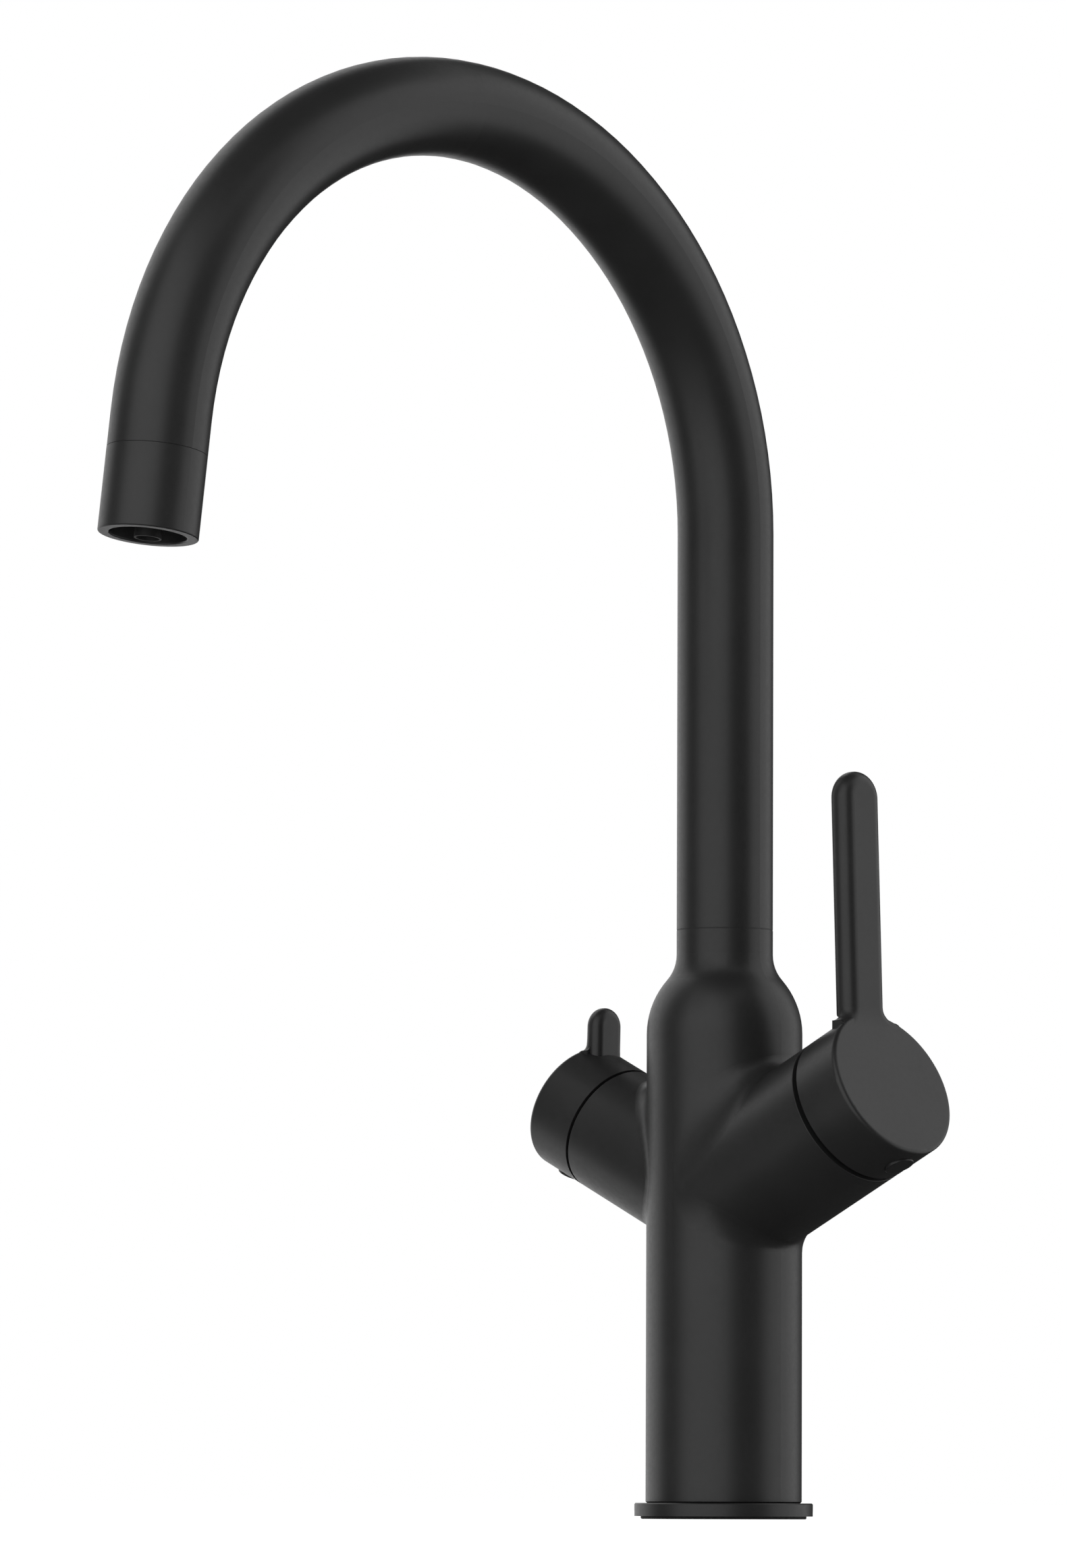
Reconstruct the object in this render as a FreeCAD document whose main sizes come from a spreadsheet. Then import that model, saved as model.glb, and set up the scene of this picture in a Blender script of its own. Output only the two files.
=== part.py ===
import FreeCAD, Part
import math
import os
import re
import Sketcher
from FreeCAD import Placement, Rotation, Vector

# Three-way kitchen tap: an upright body with a mixer handle on one side (+X), a filtered water handle
# on the other (-X) and a swan-neck spout over the sink (-Y). The origin is the middle of the foot, on
# the worktop. Positions along a hub are measured from the upright axis, outwards along the hub's axis.

# Driving sizes in millimetres and degrees
SIZES = {
    # clearances
    "fit_gap": 0.05,
    "running_gap": 0.08,
    "open_gap": 0.4,
    # foot
    "seal_show": 0.75,
    "seal_inset": 1.7,
    "seal_width": 3.0,
    "seal_sunk": 1.5,
    "seal_edge": 0.4,
    "flange_show": 3.0,
    "flange_height": 3.55,
    "flange_edge": 0.3,
    "foot_rim": 1.9,
    # upright body
    "column_radius": 21.0,
    "column_edge": 0.4,
    "shoulder_gap": 6.16,
    "shoulder_radius": 22.3,
    "neck_fillet": 10.5,
    "neck_rise": 27.9,
    "neck_bore_radius": 10.0,
    "neck_depth": 36.5,
    # sockets in the underside
    "hose_socket_radius": 4.5,
    "hose_socket_depth": 12.0,
    "stud_hole_radius": 3.4,
    "stud_hole_depth": 20.0,
    "inlet_across": 8.3,
    "inlet_aside": 6.5,
    "filter_inlet_across": 10.5,
    # waterways
    "duct_radius": 2.4,
    "inlet_port_drop": 4.0,
    "mixed_port_rise": 6.0,
    "mixed_duct_across": 7.2,
    "filter_duct_radius": 2.2,
    "filter_duct_rise": 4.0,
    # hubs
    "hub_axis_height": 86.5,
    "hub_tilt": 25.3,
    "hub_edge": 0.15,
    "mixer_hub_step": 0.1,
    "mixer_hub_end": 51.4,
    "mixer_blend": 3.0,
    "mixer_front_blend": 40.0,
    "filter_hub_radius": 17.5,
    "filter_hub_end": 44.6,
    "filter_blend": 4.5,
    # mixing cartridge
    "mixer_seat": 18.0,
    "cartridge_radius": 13.0,
    "cartridge_wall": 1.9,
    "cartridge_base_depth": 4.0,
    "port_seal_radius": 3.6,
    "port_seal_depth": 1.5,
    "mixer_fixed_disc_depth": 4.0,
    "mixer_moving_disc_depth": 3.5,
    "mixer_chamber_radius": 4.6,
    "mixer_chamber_depth": 2.0,
    "mixer_driver_depth": 2.5,
    "mixer_neck_radius": 8.0,
    "mixer_spindle_radius": 5.0,
    "mixer_spindle_tip_radius": 4.0,
    "mixer_neck_length": 8.0,
    "mixer_nut_radius": 16.0,
    "mixer_nut_depth": 6.0,
    "mixer_nut_sunk": 4.2,
    # filtered water valve
    "filter_seat": 16.0,
    "filter_bore_radius": 9.5,
    "filter_seal_depth": 2.0,
    "filter_seal_bore": 4.0,
    "filter_housing_wall": 2.4,
    "filter_fixed_disc_depth": 3.0,
    "filter_moving_disc_depth": 3.0,
    "filter_driver_depth": 1.5,
    "filter_window_depth": 3.2,
    "filter_window_width": 6.0,
    "filter_window_roof": 2.3,
    "filter_chamber_depth": 1.1,
    "filter_chamber_margin": 1.6,
    "filter_flange_sunk": 5.9,
    "filter_flange_depth": 3.0,
    "filter_neck_length": 4.0,
    "filter_housing_neck_radius": 6.0,
    "filter_ring_seat_radius": 13.0,
    "filter_spindle_radius": 3.5,
    "filter_spindle_tip_radius": 3.0,
    # both valves
    "spindle_show": 1.0,
    "tip_cover": 4.2,
    "ring_inset": 2.2,
    "ring_lap": 1.1,
    "tongue_width": 3.0,
    "tongue_depth": 1.2,
    "o_ring_section": 1.5,
    # handles
    "mixer_gap": 1.65,
    "mixer_cap_depth": 15.05,
    "filter_gap": 0.95,
    "filter_cap_depth": 15.7,
    "cap_recess": 2.4,
    "cap_edge": 1.2,
    "lever_lean": 2.0,
    "lever_bend": 15.0,
    "lever_flat": 0.4,
    "mixer_lever_width": 14.5,
    "mixer_lever_depth": 7.2,
    "mixer_lever_rise": 65.75,
    "mixer_lever_flare": 3.6,
    "mixer_lever_gap": 1.6,
    "filter_lever_width": 10.4,
    "filter_lever_depth": 5.2,
    "filter_lever_rise": 11.3,
    "filter_lever_flare": 1.4,
    # handle screws and their covers
    "mixer_screw_back": 7.4,
    "filter_screw_back": 6.25,
    "grub_radius": 2.0,
    "grub_length": 6.0,
    "plug_radius": 4.0,
    "plug_depth": 3.0,
    "plug_proud": 0.45,
    "plug_edge": 0.4,
    # spout
    "spout_radius": 13.0,
    "spout_wall": 1.5,
    "spout_arc_radius": 105.2,
    "spout_rise": 107.4,
    "outlet_lean": 7.9,
    "glide_depth": 0.4,
    "spigot_gap": 2.0,
    "spigot_rise": 13.5,
    "spigot_bore": 5.6,
    "spigot_ring_rise": 4.0,
    "spigot_ring_pitch": 6.5,
    "retainer_drop": 11.5,
    "retainer_radius": 2.0,
    "retainer_depth": 1.6,
    "swivel_stop": 75.0,
    # filtered water tube
    "filtered_tube_radius": 3.0,
    "filtered_tube_wall": 0.8,
    "filtered_tube_sunk": 5.0,
    "tube_ring_sunk": 3.5,
    # outlet
    "sleeve_start": 9.2,
    "sleeve_length": 21.95,
    "sleeve_mouth_radius": 10.0,
    "sleeve_edge": 0.4,
    "sleeve_seam": 0.15,
    "sleeve_tail": 8.0,
    "sleeve_tail_wall": 1.6,
    "sleeve_ring_start": 2.6,
    "former_start": 12.0,
    "former_depth": 13.0,
    "former_wall": 1.2,
    "former_floor": 2.0,
    "former_hole_radius": 0.9,
    "former_hole_circle": 6.8,
    "former_holes": 16,
    "nozzle_wall": 0.5,
    "nozzle_start": 10.0,
    "nozzle_proud": 0.7,
    "nozzle_cover": 8.0,
}

doc = FreeCAD.newDocument("kitchen_tap")
sheet = doc.addObject("Spreadsheet::Sheet", "Sizes")
for row, (name, size) in enumerate(SIZES.items(), start=1):
    sheet.set("A%d" % row, name)
    sheet.set("B%d" % row, str(size))
    sheet.setAlias("B%d" % row, name)
doc.recompute()

# Places that several pieces share, as expressions of the sizes
FLANGE_RADIUS = "(column_radius + flange_show)"
FLANGE_TOP = "(seal_show + flange_height)"
SEAL_RADIUS = "(%s - seal_inset)" % FLANGE_RADIUS
SEAL_BORE = "(%s - seal_width)" % SEAL_RADIUS
FOOT_RADIUS = "(%s - foot_rim)" % SEAL_BORE
MIXER_RADIUS = "(column_radius - mixer_hub_step)"
HUB_TOP = "(hub_axis_height + column_radius * tan(hub_tilt) + %s / cos(hub_tilt))" % MIXER_RADIUS
SHOULDER_START = "(%s + mixer_blend / tan(45 - hub_tilt / 2) + shoulder_gap)" % HUB_TOP
NECK_TOP = "(%s + neck_rise)" % SHOULDER_START
NECK_FLOOR = "(%s - neck_depth)" % NECK_TOP
SPIGOT_END = "(%s + spigot_gap)" % NECK_FLOOR
SPIGOT_TOP = "(%s + spigot_rise)" % NECK_TOP
SPIGOT_RINGS = "(%s + spigot_ring_rise)" % SPIGOT_END
RETAINER_HEIGHT = "(%s - retainer_drop)" % NECK_TOP
FILTERED_TUBE_START = "(%s - filtered_tube_sunk)" % NECK_FLOOR
TUBE_RING_START = "(%s - tube_ring_sunk)" % NECK_FLOOR
SPOUT_BORE = "(spout_radius - spout_wall)"
SPOUT_START = "(%s + glide_depth)" % NECK_TOP
ARC_HEIGHT = "(%s + spout_rise)" % NECK_TOP
ARC_END_Y = "-(spout_arc_radius * (1 + cos(outlet_lean)))"
ARC_END_Z = "(%s + spout_arc_radius * sin(outlet_lean))" % ARC_HEIGHT
SLEEVE_END = "(sleeve_start + sleeve_length)"
NOZZLE_RADIUS = "(filtered_tube_radius + fit_gap + nozzle_wall)"
MIXER_CAP_START = "(mixer_hub_end + mixer_gap)"
MIXER_FACE = "(mixer_hub_end + mixer_gap + mixer_cap_depth)"
MIXER_NUT_TOP = "(mixer_hub_end - mixer_nut_sunk)"
MIXER_SHOULDER = "(%s - mixer_nut_depth)" % MIXER_NUT_TOP
MIXER_NECK_END = "(%s + mixer_neck_length)" % MIXER_SHOULDER
MIXER_RING_RADIUS = "(%s - ring_inset)" % MIXER_RADIUS
MIXER_TIP_END = "(%s - tip_cover)" % MIXER_FACE
MIXER_SCREW = "(%s - mixer_screw_back)" % MIXER_FACE
FILTER_CAP_START = "(filter_hub_end + filter_gap)"
FILTER_FACE = "(filter_hub_end + filter_gap + filter_cap_depth)"
CARTRIDGE_INSIDE = "(cartridge_radius - fit_gap - cartridge_wall)"
MIXER_FIXED = "(mixer_seat + cartridge_base_depth)"
MIXER_MOVING = "(mixer_seat + cartridge_base_depth + mixer_fixed_disc_depth)"
MIXER_DRIVER = "(%s + mixer_moving_disc_depth)" % MIXER_MOVING
MIXER_CEILING = "(%s + mixer_driver_depth + running_gap)" % MIXER_DRIVER
FILTER_INSIDE = "(filter_bore_radius - fit_gap - filter_housing_wall)"
FILTER_FIXED = "(filter_seat + filter_seal_depth)"
FILTER_MOVING = "(filter_seat + filter_seal_depth + filter_fixed_disc_depth)"
FILTER_DRIVER = "(%s + filter_moving_disc_depth)" % FILTER_MOVING
FILTER_DRIVER_END = "(%s + filter_driver_depth)" % FILTER_DRIVER
FILTER_WINDOW_END = "(%s + filter_window_depth)" % FILTER_DRIVER_END
FILTER_CEILING = "(%s + filter_window_roof)" % FILTER_WINDOW_END
FILTER_CHAMBER_START = "(%s - filter_chamber_margin)" % FILTER_DRIVER_END
FILTER_CHAMBER_END = "(%s + filter_chamber_margin)" % FILTER_WINDOW_END
FILTER_FLANGE_TOP = "(filter_hub_end - filter_flange_sunk)"
FILTER_SHOULDER = "(%s - filter_flange_depth)" % FILTER_FLANGE_TOP
FILTER_NECK_END = "(%s + filter_neck_length)" % FILTER_FLANGE_TOP
FILTER_RING_RADIUS = "(filter_hub_radius - ring_inset)"
FILTER_TIP_END = "(%s - tip_cover)" % FILTER_FACE
FILTER_SCREW = "(%s - filter_screw_back)" % FILTER_FACE

# Sides of the body that the hubs point to
MIXER = 1
FILTER = -1


def sized(expression):
    """The expression with the name of each size pointing at its cell."""
    return re.sub("[a-z_]+", lambda word: "Sizes." + word[0] if word[0] in SIZES else word[0], expression)


def value(expression):
    """The number that an expression of the sizes gives."""
    return float(sheet.evalExpression(sized(expression)))


def bind(item, **expressions):
    """Ties properties of an item to expressions of the sizes."""
    for name, expression in expressions.items():
        item.setExpression(name, sized(expression))


def place(item, x="0", y="0", z="0", about=None, angle="0"):
    """Places an item at a point, turned by an angle about an axis."""
    if about:
        item.Placement = Placement(Vector(), Rotation(about, value(angle)))
        item.setExpression("Placement.Rotation.Angle", sized(angle))
    for name, expression in (("x", x), ("y", y), ("z", z)):
        item.setExpression("Placement.Base." + name, sized(expression))
    return item


def on_hub(item, side, drop="0", aside="0", along="0"):
    """Stands an item along a hub, at a drop below its axis, aside from it and along it."""
    return place(
        item,
        x="%d * ((%s) * cos(hub_tilt) + (%s) * sin(hub_tilt))" % (side, along, drop),
        y=aside,
        z="hub_axis_height + (%s) * sin(hub_tilt) - (%s) * cos(hub_tilt)" % (along, drop),
        about=Vector(0, side, 0),
        angle="90 - hub_tilt",
    )


def under_hub(item, side, along):
    """Points an item from a hub's axis to the underside of the hub."""
    return place(
        item,
        x="%d * %s * cos(hub_tilt)" % (side, along),
        z="hub_axis_height + %s * sin(hub_tilt)" % along,
        about=Vector(0, side, 0),
        angle="180 - hub_tilt",
    )


def at_outlet(item):
    """Points an item along the straight end of the spout, from the end of the bend."""
    return place(item, y=ARC_END_Y, z=ARC_END_Z, about=Vector(1, 0, 0), angle="180 - outlet_lean")


def arc_between(start, end, radius, turn):
    """The short arc from start to end that bends left (turn 1) or right (turn -1)."""
    half = (end - start) * 0.5
    to_left = Vector(-half.y, half.x, 0).normalize()
    centre = start + half + to_left * (turn * math.sqrt(max(radius**2 - half.Length**2, 0)))
    first, last = (start, end) if turn > 0 else (end, start)
    angles = [math.atan2(point.y - centre.y, point.x - centre.x) for point in (first, last)]
    return Part.ArcOfCircle(Part.Circle(centre, Vector(0, 0, 1), radius), angles[0], angles[1])


def outline(sketch, corners, closed=True):
    """Draws lines and arcs through corners, each tied to the sizes.

    A corner is (x, y) at the end of a line, or (x, y, radius, turn) at the end of an arc.
    """
    points = [Vector(value(corner[0]), value(corner[1]), 0) for corner in corners]
    offset = sketch.GeometryCount
    rules = []
    ties = []
    pieces = []
    for index in range(0 if closed else 1, len(corners)):
        corner = corners[index]
        start, end = points[index - 1], points[index]
        number = offset + len(pieces)
        if len(corner) == 2:
            sketch.addGeometry(Part.LineSegment(start, end))
            pieces.append((number, 1, 2))
        else:
            sketch.addGeometry(arc_between(start, end, value(corner[2]), corner[3]))
            pieces.append((number, 1, 2) if corner[3] > 0 else (number, 2, 1))
            rules.append(Sketcher.Constraint("Radius", number, value(corner[2])))
            ties.append((len(rules) - 1, corner[2]))
    ends = [(number, last) for number, first, last in pieces]
    for index, (number, first, last) in enumerate(pieces):
        if closed or index:
            before = ends[index - 1]
            rules.append(Sketcher.Constraint("Coincident", before[0], before[1], number, first))
    held = list(zip(ends, corners if closed else corners[1:]))
    if not closed:
        held.append(((pieces[0][0], pieces[0][1]), corners[0]))
    for (number, spot), corner in held:
        for kind, axis, expression in (("DistanceX", -2, corner[0]), ("DistanceY", -1, corner[1])):
            if expression == "0":
                rules.append(Sketcher.Constraint("PointOnObject", number, spot, axis))
            else:
                rules.append(Sketcher.Constraint(kind, -1, 1, number, spot, value(expression)))
                ties.append((len(rules) - 1, expression))
    base = sketch.ConstraintCount
    sketch.addConstraint(rules)
    for index, expression in ties:
        sketch.setExpression("Constraints[%d]" % (base + index), sized(expression))


def ring(sketch, x, y, radius):
    """Draws a circle tied to the sizes."""
    number = sketch.GeometryCount
    centre = Vector(value(x), value(y), 0)
    sketch.addGeometry(Part.Circle(centre, Vector(0, 0, 1), value(radius)))
    rules = [("Radius", (number,), radius)]
    for kind, axis, expression in (("DistanceX", -2, x), ("DistanceY", -1, y)):
        if expression == "0":
            sketch.addConstraint(Sketcher.Constraint("PointOnObject", number, 3, axis))
        else:
            rules.append((kind, (-1, 1, number, 3), expression))
    for kind, spots, expression in rules:
        index = sketch.addConstraint(Sketcher.Constraint(kind, *spots, value(expression)))
        sketch.setExpression("Constraints[%d]" % index, sized(expression))


def new_body(label):
    """An empty body."""
    return doc.addObject("PartDesign::Body", label)


def new_sketch(body, name, plane):
    """A sketch on one of the body's own planes."""
    sketch = body.newObject("Sketcher::SketchObject", name)
    support = [feature for feature in body.Origin.OriginFeatures if feature.Role == plane][0]
    sketch.AttachmentSupport = (support, "")
    sketch.MapMode = "FlatFace"
    return sketch


def turned(label, corners, plane="XZ_Plane", angle=360, backwards=False):
    """A body turned about its own Z axis, from a profile of (radius, height) corners."""
    body = new_body(label)
    sketch = new_sketch(body, label + "_profile", plane)
    outline(sketch, corners)
    turn = body.newObject("PartDesign::Revolution", label + "_turn")
    turn.Profile = sketch
    turn.ReferenceAxis = (sketch, ["V_Axis"])
    turn.Angle = angle
    turn.Reversed = backwards
    return body


def tube(label, inside, outside, low, high):
    """A turned ring with a square section."""
    return turned(label, [(inside, low), (outside, low), (outside, high), (inside, high)])


def disc(label, radius, low, high):
    """A turned disc."""
    return turned(label, [("0", low), (radius, low), (radius, high), ("0", high)])


def cylinder(label, radius, height):
    """A plain round bar that stands on its base."""
    bar = doc.addObject("Part::Cylinder", label)
    bind(bar, Radius=radius, Height=height)
    return bar


def join(label, pieces):
    """One solid from several."""
    joined = doc.addObject("Part::MultiFuse", label)
    joined.Shapes = pieces
    joined.Refine = True
    return joined


def cut(label, base, tools):
    """The base with every tool taken out of it."""
    result = doc.addObject("Part::Cut", label)
    result.Base = base
    result.Tool = tools[0] if len(tools) == 1 else join(label + "_tools", tools)
    return result


def group(label, pieces):
    """Separate solids that share one node."""
    together = doc.addObject("Part::Compound", label)
    together.Links = pieces
    return together


def piped(label, outside, inside, start, straight):
    """A tube that follows the spout from a height up the riser to a length past the bend."""
    body = new_body(label)
    path = new_sketch(body, label + "_path", "YZ_Plane")
    radius = "spout_arc_radius"
    corners = [
        ("0", start),
        ("0", ARC_HEIGHT),
        ("-" + radius, ARC_HEIGHT + " + " + radius, radius, 1),
        (ARC_END_Y, ARC_END_Z, radius, 1),
        (
            "%s - (%s) * sin(outlet_lean)" % (ARC_END_Y, straight),
            "%s - (%s) * cos(outlet_lean)" % (ARC_END_Z, straight),
        ),
    ]
    outline(path, corners, closed=False)
    section = new_sketch(body, label + "_section", "XY_Plane")
    section.setExpression("AttachmentOffset.Base.z", sized(start))
    ring(section, "0", "0", outside)
    ring(section, "0", "0", inside)
    doc.recompute()
    pipe = body.newObject("PartDesign::AdditivePipe", label + "_pipe")
    pipe.Profile = section
    pipe.Spine = (path, ["Edge%d" % number for number in range(1, len(corners))])
    return body


def base_seal():
    """Rubber ring under the flange, with a rounded outer edge where it meets the worktop."""
    return turned("base_seal", [
        (SEAL_BORE, "0"),
        (SEAL_RADIUS + " - seal_edge", "0"),
        (SEAL_RADIUS, "seal_edge", "seal_edge", 1),
        (SEAL_RADIUS, "seal_show + seal_sunk"),
        (SEAL_BORE, "seal_show + seal_sunk"),
    ])


def base_flange():
    """Foot plate with a recess for the seal and a bore for the foot of the body."""
    return turned("base_flange", [
        (FOOT_RADIUS + " + fit_gap", "seal_show"),
        (SEAL_BORE + " - fit_gap", "seal_show"),
        (SEAL_BORE + " - fit_gap", "seal_show + seal_sunk"),
        (SEAL_RADIUS + " + fit_gap", "seal_show + seal_sunk"),
        (SEAL_RADIUS + " + fit_gap", "seal_show"),
        (FLANGE_RADIUS, "seal_show"),
        (FLANGE_RADIUS, FLANGE_TOP + " - flange_edge"),
        (FLANGE_RADIUS + " - flange_edge", FLANGE_TOP),
        (FOOT_RADIUS + " + fit_gap", FLANGE_TOP),
    ])


def body_column():
    """Column, rounded shoulder and neck, turned in one piece."""
    across = "(shoulder_radius - column_radius + spout_radius + neck_fillet)"
    between = "(shoulder_radius + neck_fillet)"
    up = "sqrt(%s^2 - %s^2)" % (between, across)
    return turned("body_column", [
        ("0", "seal_show"),
        (FOOT_RADIUS, "seal_show"),
        (FOOT_RADIUS, FLANGE_TOP),
        ("column_radius - column_edge", FLANGE_TOP),
        ("column_radius", FLANGE_TOP + " + column_edge"),
        ("column_radius", SHOULDER_START),
        (
            "column_radius - shoulder_radius + shoulder_radius * %s / %s" % (across, between),
            "%s + shoulder_radius * %s / %s" % (SHOULDER_START, up, between),
            "shoulder_radius",
            1,
        ),
        ("spout_radius", "%s + %s" % (SHOULDER_START, up), "neck_fillet", -1),
        ("spout_radius", NECK_TOP),
        ("0", NECK_TOP),
    ])


def blended(label, base, choose):
    """The base with those edges rounded that choose gives a radius for at both ends."""
    doc.recompute()
    rounded = doc.addObject("Part::Fillet", label)
    rounded.Base = base
    rows = []
    for number, edge in enumerate(base.Shape.Edges, start=1):
        radii = choose(base.Shape, edge)
        if radii:
            rows.append((number, *radii))
    # the radii along a chain of edges are read in the direction of its first edge
    uneven = [number for number, start, end in rows if start != end]
    if uneven and base.Shape.Edges[uneven[0] - 1].Orientation == "Reversed":
        rows = [(number, end, start) for number, start, end in rows]
    rounded.Edges = rows
    return rounded


def is_bar(face, radius, axis):
    """Whether a face is part of a round bar of this radius along this axis."""
    surface = face.Surface
    if not isinstance(surface, Part.Cylinder):
        return False
    return abs(surface.Radius - radius) < 1e-4 and abs(surface.Axis.dot(axis)) > 0.9999


def hub_junction(shape, edge):
    """The radii at the ends of an edge where a hub meets the column, or None for another edge."""
    tilt = math.radians(value("hub_tilt"))
    faces = shape.ancestorsOfType(edge, Part.Face)
    if not any(is_bar(face, value("column_radius"), Vector(0, 0, 1)) for face in faces):
        return None
    for side, radius, blend, front_blend in (
        (MIXER, MIXER_RADIUS, "mixer_blend", "mixer_front_blend"),
        (FILTER, "filter_hub_radius", "filter_blend", "filter_blend"),
    ):
        axis = Vector(side * math.cos(tilt), 0, math.sin(tilt))
        if any(is_bar(face, value(radius), axis) for face in faces):
            ends = [vertex.Point for vertex in (edge.firstVertex(True), edge.lastVertex(True))]
            return [value(front_blend if abs(end.y) > value(radius) / 2 else blend) for end in ends]
    return None


def hub_profile(radius, end):
    """Half section of a hub with a rounded rim."""
    return [
        ("0", "0"),
        (radius, "0"),
        (radius, end + " - hub_edge"),
        (radius + " - hub_edge", end, "hub_edge", 1),
        ("0", end),
    ]


def mixer_bore():
    """Space for the mixing cartridge and its nut."""
    return on_hub(turned("mixer_bore", [
        ("0", "mixer_seat"),
        ("cartridge_radius", "mixer_seat"),
        ("cartridge_radius", MIXER_SHOULDER),
        ("mixer_nut_radius", MIXER_SHOULDER),
        ("mixer_nut_radius", "mixer_hub_end + open_gap"),
        ("0", "mixer_hub_end + open_gap"),
    ]), MIXER)


def filter_bore():
    """Space for the filtered water valve, with the chamber that its windows open into."""
    return on_hub(turned("filter_bore", [
        ("0", "filter_seat"),
        ("filter_bore_radius", "filter_seat"),
        ("filter_bore_radius", FILTER_CHAMBER_START),
        ("filter_bore_radius + filter_chamber_depth", FILTER_CHAMBER_START),
        ("filter_bore_radius + filter_chamber_depth", FILTER_CHAMBER_END),
        ("filter_bore_radius", FILTER_CHAMBER_END),
        ("filter_bore_radius", FILTER_SHOULDER),
        ("filter_ring_seat_radius", FILTER_SHOULDER),
        ("filter_ring_seat_radius", "filter_hub_end + open_gap"),
        ("0", "filter_hub_end + open_gap"),
    ]), FILTER)


def neck_bore():
    """Space for the spout's spigot, the filtered water tube and its seal."""
    return turned("neck_bore", [
        ("0", FILTERED_TUBE_START),
        ("filtered_tube_radius + running_gap", FILTERED_TUBE_START),
        ("filtered_tube_radius + running_gap", TUBE_RING_START),
        ("filtered_tube_radius + o_ring_section", TUBE_RING_START),
        ("filtered_tube_radius + o_ring_section", TUBE_RING_START + " + o_ring_section"),
        ("filtered_tube_radius + running_gap", TUBE_RING_START + " + o_ring_section"),
        ("filtered_tube_radius + running_gap", NECK_FLOOR),
        ("neck_bore_radius", NECK_FLOOR),
        ("neck_bore_radius", NECK_TOP + " + open_gap"),
        ("0", NECK_TOP + " + open_gap"),
    ])


def mixer_ways():
    """Hot and cold ducts up to the cartridge, and the mixed water's duct up to the neck."""
    inlet = "((inlet_across - inlet_port_drop * sin(hub_tilt)) / cos(hub_tilt))"
    inlet_top = "(hub_axis_height + %s * sin(hub_tilt) - inlet_port_drop * cos(hub_tilt))" % inlet
    mixed = "((mixed_duct_across + mixed_port_rise * sin(hub_tilt)) / cos(hub_tilt))"
    mixed_top = "(hub_axis_height + %s * sin(hub_tilt) + mixed_port_rise * cos(hub_tilt))" % mixed
    ways = []
    for name, aside in (("hot", "-inlet_aside"), ("cold", "inlet_aside")):
        socket = cylinder(name + "_socket", "hose_socket_radius", "hose_socket_depth")
        ways.append(place(socket, "inlet_across", aside, "seal_show"))
        riser = cylinder(name + "_riser", "duct_radius", inlet_top + " - seal_show")
        ways.append(place(riser, "inlet_across", aside, "seal_show"))
        port = cylinder(name + "_port", "duct_radius", "mixer_seat - %s + duct_radius" % inlet)
        ways.append(on_hub(port, MIXER, "inlet_port_drop", aside, inlet + " - duct_radius"))
    port = cylinder("mixed_port", "duct_radius", "mixer_seat - %s + duct_radius" % mixed)
    ways.append(on_hub(port, MIXER, "-mixed_port_rise", "0", mixed + " - duct_radius"))
    riser = cylinder("mixed_riser", "duct_radius", "%s - %s" % (NECK_FLOOR, mixed_top))
    ways.append(place(riser, "mixed_duct_across", "0", mixed_top))
    return ways


def filter_ways():
    """Filtered water's duct up to its valve, and from the valve's chamber to the neck."""
    inlet = "(filter_inlet_across / cos(hub_tilt))"
    inlet_top = "(hub_axis_height + filter_inlet_across * tan(hub_tilt))"
    socket = cylinder("filter_socket", "hose_socket_radius", "hose_socket_depth")
    place(socket, "-filter_inlet_across", "0", "seal_show")
    riser = cylinder("filter_riser", "duct_radius", inlet_top + " - seal_show")
    place(riser, "-filter_inlet_across", "0", "seal_show")
    port = cylinder("filter_port", "duct_radius", "filter_seat - %s + duct_radius" % inlet)
    on_hub(port, FILTER, along=inlet + " - duct_radius")
    middle = "((%s + %s) / 2)" % (FILTER_CHAMBER_START, FILTER_CHAMBER_END)
    across = "(%s * cos(hub_tilt) - filter_bore_radius * sin(hub_tilt))" % middle
    up = "(hub_axis_height + %s * sin(hub_tilt) + filter_bore_radius * cos(hub_tilt))" % middle
    meets = "(%s - filter_duct_rise)" % FILTERED_TUBE_START
    drop = "(%s - %s)" % (meets, up)
    cross = cylinder("filter_cross_duct", "filter_duct_radius", "sqrt(%s^2 + %s^2)" % (across, drop))
    place(cross, z=meets, about=Vector(0, -1, 0), angle="90 + atan(%s / %s) / 1 deg" % (drop, across))
    rise = cylinder("filter_neck_duct", "filter_duct_radius", "filter_duct_rise")
    place(rise, z=meets)
    return [socket, riser, port, cross, rise]


def tap_body():
    """Column with its two hubs, hollowed for the valves, the spout and the waterways."""
    filter_hub = turned("filter_hub", hub_profile("filter_hub_radius", "filter_hub_end"))
    bars = [body_column(), on_hub(filter_hub, FILTER)]
    # the mixer hub's halves part at the front and back of the column, where their blend is widest
    for name, below in (("mixer_hub_upper", False), ("mixer_hub_lower", True)):
        half = turned(name, hub_profile(MIXER_RADIUS, "mixer_hub_end"), "YZ_Plane", 180, below)
        bars.append(on_hub(half, MIXER))
    outside = join("body_outside", bars)
    outside.Refine = False
    outside = blended("body_rounded", outside, hub_junction)
    stud = place(cylinder("stud_hole", "stud_hole_radius", "stud_hole_depth"), z="seal_show")
    retainer = cylinder("retainer_hole", "retainer_radius", "spout_radius")
    place(retainer, z=RETAINER_HEIGHT, about=Vector(-1, 0, 0), angle="90")
    tools = [mixer_bore(), filter_bore(), neck_bore(), stud, retainer]
    return cut("tap_body", outside, tools + mixer_ways() + filter_ways())


def port_hole(name, drop, aside, radius, low, high):
    """A hole along the mixer hub, for a port."""
    hole = cylinder(name, radius, "%s - %s" % (high, low))
    return on_hub(hole, MIXER, drop, aside, low)


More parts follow.
